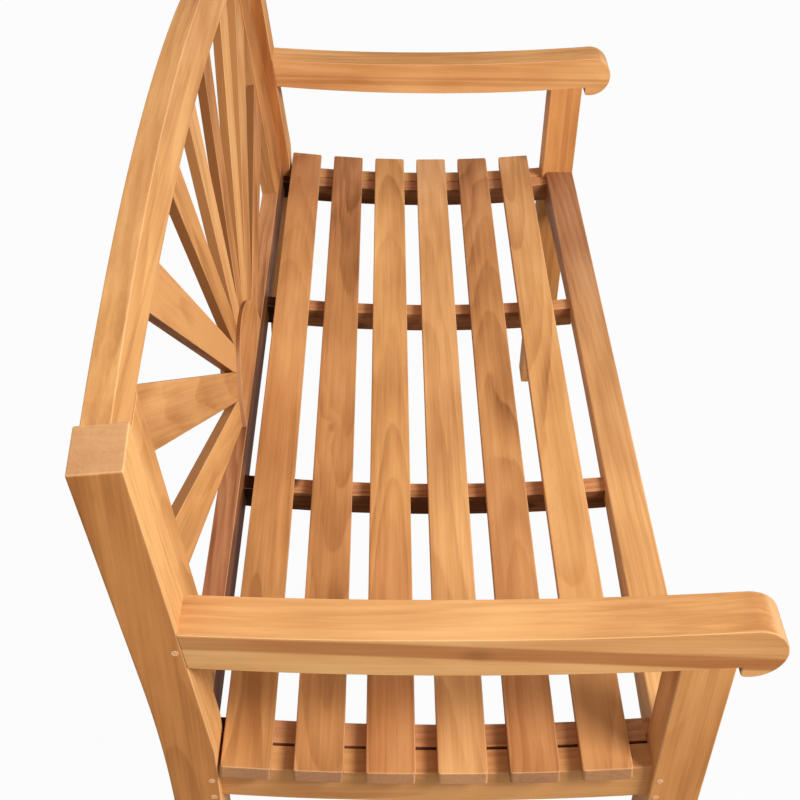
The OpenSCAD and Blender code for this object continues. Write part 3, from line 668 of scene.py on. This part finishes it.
def front_leg(side):
    top = [(arm_under(y) + LEG_TOP_TUCK, y) for y in spaced(FRONT_FACE, FRONT_LEG_BACK, STEPS["leg top"])]
    outline = [(0, FRONT_FACE)] + top + [(0, FRONT_LEG_BACK)]
    node = f"front_leg_{side_name(side)}"
    board(node + "_board", node, slab(outline, -LEG_W / 2, LEG_W / 2),
          place((side * LEG_MID, 0, 0), UP, BACKWARD), wood("front_leg", side), LEG_EASE,
          crisp_past=ARM_HEIGHT - ARM_T - LEG_TOP_ZONE)


def arm_outline():
    """An arm from its side, as (depth, height) points: hollowed top, nose, lip, notch, underside."""
    nose_y = FRONT_FACE - NOSE_REACH + NOSE_R
    nose_z = arm_top(nose_y) - NOSE_R
    notch_y = FRONT_FACE - NOSE_NOTCH
    # The nose ends in a small round lip beside the notch
    lip_y = notch_y - NOSE_LIP_R
    lip_from_nose = NOSE_R - NOSE_LIP_R
    lip_z = nose_z - math.sqrt(lip_from_nose ** 2 - (lip_y - nose_y) ** 2)
    meet = 2 * math.pi - math.acos((lip_y - nose_y) / lip_from_nose)
    top = [(y, arm_top(y)) for y in spaced(post_face(ARM_HEIGHT), nose_y, STEPS["arm"])[:-1]]
    nose = turn_points((nose_y, nose_z), NOSE_R - NOSE_FACET, math.pi / 2, meet, STEPS["nose"])
    lip = turn_points((lip_y, lip_z), NOSE_LIP_R, meet, 2 * math.pi, STEPS["lip"])[1:]
    under = [(y, arm_under(y)) for y in spaced(notch_y, post_face(ARM_HEIGHT - ARM_T), STEPS["arm"])]
    return top + nose + lip + under


def arm(side):
    node = f"arm_{side_name(side)}"
    board(node + "_board", node, slab(arm_outline(), 0, ARM_W),
          place((side * LEG_MID - ARM_W / 2, 0, 0), BACKWARD, UP), wood("arm", side, **ARMS[side]),
          ARM_EASE, crisp_past=POST_FRONT)


# Rails and bearers under the slats

def dish_z(y, radius):
    """Height at y of the seat's hollow, or of a curve below it with a larger radius."""
    return DISH_CENTRE - math.sqrt(radius ** 2 - (y - DISH_MID) ** 2)


def strip(y0, y1, height):
    """A strip that follows the seat's hollow, as (depth, height) points."""
    ys = spaced(y0, y1, STEPS["dish"])
    top = [(y, dish_z(y, BEARER_TOP_R)) for y in ys]
    low = [(y, dish_z(y, BEARER_TOP_R + height)) for y in reversed(ys)]
    return top + low


def side_rail(side):
    outline = strip(FRONT_LEG_BACK - LONG_TUCK, POST_FRONT + LONG_TUCK, SIDE_RAIL_H)
    node = f"side_rail_{side_name(side)}"
    board(node + "_board", node, slab(outline, 0, SIDE_RAIL_T),
          place((side * LEG_MID - SIDE_RAIL_T / 2, 0, 0), BACKWARD, UP), wood("side_rail", side), LOW_EASE)


BEARER_ENDS = (FRONT_RAIL_BACK - LONG_TUCK, POST_FRONT + PANEL_SETBACK + LONG_TUCK)


def bearer(name, node, x, thick, reach, look):
    board(name, node, slab(strip(*reach, BEARER_H), 0, thick),
          place((x - thick / 2, 0, 0), BACKWARD, UP), look, LOW_EASE)


def middle_bearer(side):
    node = f"middle_bearer_{side_name(side)}"
    bearer(node + "_board", node, side * BEARER_X, BEARER_T, BEARER_ENDS, wood("middle_bearer", side))


def end_bearer(side):
    """The bearer between the legs, and its two narrower ends that pass them."""
    node = f"end_bearer_{side_name(side)}"
    outer = LEG_MID - SIDE_RAIL_T / 2 - END_BEARER_GAP
    inner = outer - END_BEARER_T
    beside = LEG_IN - inner
    pieces = {
        "board": ((inner + outer) / 2, END_BEARER_T, (FRONT_LEG_BACK, POST_FRONT)),
        "front_end": (inner + beside / 2, beside - END_PLAY, (BEARER_ENDS[0], FRONT_LEG_BACK + TUCK)),
        "rear_end": (inner + beside / 2, beside - END_PLAY, (POST_FRONT - TUCK, BEARER_ENDS[1])),
    }
    for part, (x, thick, reach) in pieces.items():
        bearer(f"{node}_{part}", node, side * x, thick, reach, wood("end_bearer", side))


def front_rail():
    top = SEAT_HEIGHT - FRONT_RAIL_DROP
    low = top - FRONT_RAIL_H
    half = LEG_IN + TUCK
    radius = (LEG_IN ** 2 + FRONT_RAIL_ARCH ** 2) / (2 * FRONT_RAIL_ARCH)
    under = arc(radius, low + FRONT_RAIL_ARCH - radius, -half, half, STEPS["rail arch"])
    board("front_rail_board", "front_rail", slab(under + [(half, top), (-half, top)], -FRONT_RAIL_T, 0),
          place((0, FRONT_FACE, 0), ALONG, UP), wood("front_rail"), FRONT_RAIL_EASE)


# The back

def rear_rail():
    half = LEG_IN + TUCK
    outline = [(-half, -REAR_RAIL_H), (half, -REAR_RAIL_H), (half, 0), (-half, 0)]
    board("rear_rail_board", "rear_rail", slab(outline, -PANEL_T, 0),
          PANEL @ place((0, 0, 0), ALONG, UP), wood("rear_rail"), REAR_RAIL_EASE)


def sloped(outline):
    """Rings of a frame board whose inner edge slopes; outline takes how far that edge moves in."""
    return [(outline(0), -PANEL_T), (outline(0), -SLOPE_DEEP), (outline(SLOPE_WIDE), 0)]


def stile(side):
    def top(x):
        return circle_z(CREST_LOW_R, CREST_LOW_CENTRE, x) + LONG_TUCK

    def outline(inset):
        inner, outer = FRAME_HALF + inset, LEG_IN + TUCK
        return [(-LONG_TUCK, -side * inner), (top(inner), -side * inner),
                (top(outer), -side * outer), (-LONG_TUCK, -side * outer)]

    node = f"stile_{side_name(side)}"
    board(node + "_board", node, sloped(outline), PANEL @ place((0, 0, 0), UP, (-1, 0, 0)),
          wood("stile", side, **STILES[side]), STILE_EASE, sharp=SLOPE_SHARP)


def top_rail():
    half = LEG_IN + TUCK

    def outline(inset):
        return (arc(CREST_LOW_R + inset, CREST_LOW_CENTRE, -half, half, STEPS["arch"])
                + arc(CREST_TOP_R, CREST_TOP_CENTRE, half, -half, STEPS["arch"]))

    board("top_rail_board", "top_rail", sloped(outline), PANEL @ place((0, 0, 0), ALONG, UP),
          wood("top_rail"), CREST_EASE, sharp=SLOPE_SHARP)


def sun_hub():
    first = math.asin(HUB_DROP / HUB_R)
    rim = turn_points((0, -HUB_DROP), HUB_R, first, math.pi - first, STEPS["hub"])
    board("sun_hub_board", "sun_hub", slab(rim, -PANEL_T, 0), PANEL @ place((0, 0, 0), ALONG, UP),
          wood("sun_hub"), HUB_EASE)


def on_hub(number):
    """Where the ray of a number stands on the hub's rim; half numbers lie between rays."""
    a = math.radians(number * RAY_ANGLE)
    return (HUB_R * math.sin(a), HUB_R * math.cos(a) - HUB_DROP)


def halfway(number):
    """The line midway between a ray and the next: a point on it, and its normal outwards."""
    lean = math.radians((RAY_TILTS[number] + RAY_TILTS[number + 1]) / 2)
    return on_hub(number + 0.5), (math.cos(lean), -math.sin(lean))


def neighbour_lines(number):
    """The lines that part a right-hand ray from the rays beside it, with normals away from it."""
    (px, pz), (nx, nz) = halfway(max(number - 1, 0))
    lines = [((px, pz), (-nx, -nz)) if number else ((-px, pz), (-nx, nz))]
    if number < LAST_RAY:
        lines.append(halfway(number))
    return lines


def ray_outline(number, foot, u, v):
    """A right-hand ray in the panel's X and Z, cut to run just into the hub and the frame."""
    def across(along, side):
        half = side * (RAY_ROOT_W + RAY_FLARE * along) / 2
        return (foot[0] + u[0] * along + v[0] * half, foot[1] + u[1] * along + v[1] * half)

    shape = [across(RAY_START, -1), across(RAY_END, -1), across(RAY_END, 1), across(RAY_START, 1)]
    a = math.radians(number * RAY_ANGLE)
    inward = (-math.sin(a), -math.cos(a))
    shape = clip(shape, inward, -(HUB_R - RAY_TUCK) - inward[1] * HUB_DROP)
    shape = clip(shape, (1, 0), FRAME_HALF + RAY_TUCK)
    shape = clip(shape, (-1, 0), FRAME_HALF + RAY_TUCK)
    # The arch is cut along its tangent where the ray meets it
    end_x = min(FRAME_HALF, foot[0] + RAY_RISE * math.tan(math.radians(RAY_TILTS[number])))
    slope = -end_x / math.sqrt(CREST_LOW_R ** 2 - end_x ** 2)
    end_z = circle_z(CREST_LOW_R, CREST_LOW_CENTRE, end_x)
    shape = clip(shape, (-slope, 1), end_z - slope * end_x + RAY_TUCK)
    shape = clip(shape, (0, -1), 0)
    for point, normal in neighbour_lines(number):
        shape = clip(shape, normal, normal[0] * point[0] + normal[1] * point[1] - RAY_GAP / 2)
    return shape


def ray(k):
    """Ray k, from -LAST_RAY on the left through 0, upright in the middle, to LAST_RAY on the right."""
    number, side = abs(k), -1 if k < 0 else 1
    tilt = math.radians(RAY_TILTS[number])
    foot = on_hub(number)
    u = (math.sin(tilt), math.cos(tilt))
    v = (-u[1], u[0])
    # The same points along and across the board, mirrored for the left side
    local = []
    for x, z in ray_outline(number, foot, u, v):
        dx, dz = x - foot[0], z - foot[1]
        local.append((dx * u[0] + dz * u[1], (dx * v[0] + dz * v[1]) * side))
    spot = PANEL @ place((side * foot[0], RAY_SETBACK, foot[1]),
                         (side * u[0], 0, u[1]), (-u[1], 0, side * u[0]))
    order = k + LAST_RAY
    node = f"ray_{order + 1}"
    look = wood("ray", k, tone=RAY_TONES[order % len(RAY_TONES)],
                heart=(RAY_HEART_STEP * k, RAY_HEART_DEEP), base=RAY_BASES[order])
    board(node + "_board", node, slab(local, -RAY_T, 0), spot, look, RAY_EASE)


# The slats

def seat_slat(i):
    """Slat i from the back, tilted to lie in the seat's hollow."""
    mid_u, mid_v = BENCH_LENGTH / 2 - SLAT_CORNER, SLAT_W / 2 - SLAT_CORNER
    quarter = math.pi / 2
    outline = []
    for n, (su, sv) in enumerate(((1, 1), (-1, 1), (-1, -1), (1, -1))):
        outline += turn_points((su * mid_u, sv * mid_v), SLAT_CORNER, n * quarter, (n + 1) * quarter,
                               STEPS["slat corner"])
    lean = math.asin((SLAT_FIRST - i * SLAT_PITCH - DISH_MID) / DISH_R)
    spot = (Matrix.Translation(Vector((0, DISH_MID, DISH_CENTRE)) * MM)
            @ Matrix.Rotation(lean, 4, "X")
            @ Matrix.Translation(Vector((0, 0, -DISH_R)) * MM))
    node = f"seat_slat_{i + 1}"
    board(node + "_board", node, slab(outline, -SLAT_T, 0), spot,
          wood("seat_slat", i * SLAT_SEED_STEP, **SLATS[i]), SLAT_EASE, sharp=SLAT_SHARP)


# Pins and screws

def pin_places():
    """Each pin's place in a leg, as (depth, height): two in either end of a side rail, one in an arm."""
    rear_top = dish_z(POST_FRONT, BEARER_TOP_R) - PIN_DROP
    front_top = dish_z(FRONT_LEG_BACK, BEARER_TOP_R) - PIN_DROP
    rear = [(POST_FRONT + PIN_INSET, z) for z in (rear_top, rear_top - PIN_PITCH)]
    front = [(FRONT_LEG_BACK - PIN_INSET, z) for z in (front_top, front_top - PIN_PITCH)]
    return rear + [(ARM_BACK + PIN_INSET, ARM_HEIGHT - ARM_T / 2)] + front


def joint_pins():
    """Round end-grain plugs that stand a hair proud of the legs' outer faces."""
    mesh = bmesh.new()
    radius = (PIN_D - PIN_FIT) / 2
    end = LEG_OUT + PIN_PROUD
    profile = ((radius, LEG_OUT - PIN_SHOWN), (radius, end - PIN_RIM_DEEP), (radius - PIN_RIM_WIDE, end))
    turn = 2 * math.pi / STEPS["plug"]
    for side in (-1, 1):
        for y, z in pin_places():
            skin(mesh, [[(side * x, y + r * math.cos(turn * n), z + r * math.sin(turn * n))
                         for n in range(STEPS["plug"])] for r, x in profile])
    bmesh.ops.recalc_face_normals(mesh, faces=mesh.faces)
    paint = Paint("wood_pin")
    speck = paint.grain(paint.node("ShaderNodeTexCoord", out="Object"), "plug")
    paint.set(Base_Color=paint.mix(speck.band(*PLUG_SPECKS), PLUG_PALE, PLUG_DARK),
              Roughness=PLUG_ROUGH + sway(speck, PLUG_ROUGH_SPECKS))
    piece = new_piece("joint_pins_plugs", mesh, paint.material)
    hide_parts("joint_pins")
    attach(piece, "root")


def screw_finish():
    """Steel for the screws, which are the frame's own."""
    steel = Paint("screw_steel")
    speck = steel.grain(steel.node("ShaderNodeTexCoord", out="Object"), "steel")
    steel.set(Base_Color=steel.mix(speck, STEEL_PALE, STEEL_DARK),
              Roughness=STEEL_ROUGH + speck * STEEL_ROUGH_SPECKS, Metallic=1.0)
    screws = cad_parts["slat_screws"]
    screws.data.materials.clear()
    screws.data.materials.append(steel.material)


# Floor, lights and camera

# The floor's half width in metres, its own grey for the light that it throws back, and how much of
# it glows for the camera, so that it shows white
FLOOR_HALF, FLOOR_GREY, FLOOR_GLOW = 12, (0.24, 0.24, 0.24), 0.965
WHITE = (1, 1, 1)

# Soft lamps: where each is, what it faces, its width in metres and its power in watts
LAMPS = {
    "key": ((-1.6, -1.75, 2.55), (-0.1, 0, 0.5), 1.1, 94),
    "fill": ((1.6, -1.6, 2.6), (0.3, 0, 0.5), 2.0, 10),
    "rear": ((0.3, 2.6, 1.7), (0, 0, 0.6), 1.8, 26),
    "side": ((-2.9, 0.3, 1.0), (0, 0, 0.5), 1.6, 6),
}
# How bright the studio's walls are for the light that they throw; they show white
WALL_LIGHT = 0.38

# The camera, as fitted to the photograph: angles in radians, its place in metres, and its focal
# length in pixels of a picture of this width
CAMERA_PITCH, CAMERA_YAW, CAMERA_ROLL = 0.6894, -0.0227, 0.0241
CAMERA_SPOT = (-1.3001, 0.0599, 1.4786)
CAMERA_FOCUS, PICTURE_WIDTH = 1260.3, 800
SENSOR_WIDTH = 36


def floor():
    h = FLOOR_HALF
    data = bpy.data.meshes.new("floor")
    data.from_pydata([(-h, -h, 0), (h, -h, 0), (h, h, 0), (-h, h, 0)], [], [(0, 1, 2, 3)])
    paint = Paint("floor")
    paint.set(Base_Color=FLOOR_GREY, Roughness=FLOOR_ROUGH)
    glow = paint.node("ShaderNodeEmission", {}, {"Color": WHITE, "Strength": 1.0})
    lit = Sock(paint, paint.shader.outputs[0])
    both = paint.node("ShaderNodeMixShader", {}, {0: paint.shown() * FLOOR_GLOW, 1: lit, 2: glow})
    paint.feed(paint.tree.nodes["Material Output"].inputs["Surface"], both)
    data.materials.append(paint.material)
    ground = bpy.data.objects.new("floor", data)
    bpy.context.scene.collection.objects.link(ground)


def lamp(name, spot, target, size, power):
    light = bpy.data.lights.new(name, "AREA")
    light.shape = "SQUARE"
    light.size = size
    light.energy = power
    holder = bpy.data.objects.new(name, light)
    holder.location = spot
    holder.rotation_euler = (Vector(target) - Vector(spot)).to_track_quat("-Z", "Y").to_euler()
    bpy.context.scene.collection.objects.link(holder)


def walls():
    world = bpy.data.worlds.new("studio")
    bpy.context.scene.world = world
    world.use_nodes = True
    nodes = Nodes(world.node_tree)
    back = world.node_tree.nodes["Background"]
    nodes.feed(back.inputs["Color"], WHITE)
    nodes.feed(back.inputs["Strength"], WALL_LIGHT + nodes.shown() * (1 - WALL_LIGHT))


def camera():
    flat = math.cos(CAMERA_PITCH)
    ahead = Vector((flat * math.cos(CAMERA_YAW), flat * math.sin(CAMERA_YAW), -math.sin(CAMERA_PITCH)))
    level = ahead.cross(Vector(UP)).normalized()
    upright = level.cross(ahead)
    turn_cos, turn_sin = math.cos(CAMERA_ROLL), math.sin(CAMERA_ROLL)
    right = turn_cos * level + turn_sin * upright
    top = -turn_sin * level + turn_cos * upright
    spot = Matrix((right, top, -ahead)).transposed().to_4x4()
    spot.translation = CAMERA_SPOT
    data = bpy.data.cameras.new("camera")
    data.sensor_width = SENSOR_WIDTH
    data.lens = SENSOR_WIDTH * CAMERA_FOCUS / PICTURE_WIDTH
    holder = bpy.data.objects.new("camera", data)
    holder.matrix_world = spot
    bpy.context.scene.collection.objects.link(holder)
    bpy.context.scene.camera = holder


for side in (-1, 1):
    rear_leg(side)
    front_leg(side)
    arm(side)
    side_rail(side)
    stile(side)
for side in (-1, 1):
    end_bearer(side)
    middle_bearer(side)
front_rail()
rear_rail()
top_rail()
sun_hub()
for k in range(-LAST_RAY, LAST_RAY + 1):
    ray(k)
for i in range(SLAT_COUNT):
    seat_slat(i)
joint_pins()
screw_finish()
floor()
for name, (spot, target, size, power) in LAMPS.items():
    lamp(name, spot, target, size, power)
walls()
camera()
bpy.context.scene.view_settings.view_transform = "Standard"
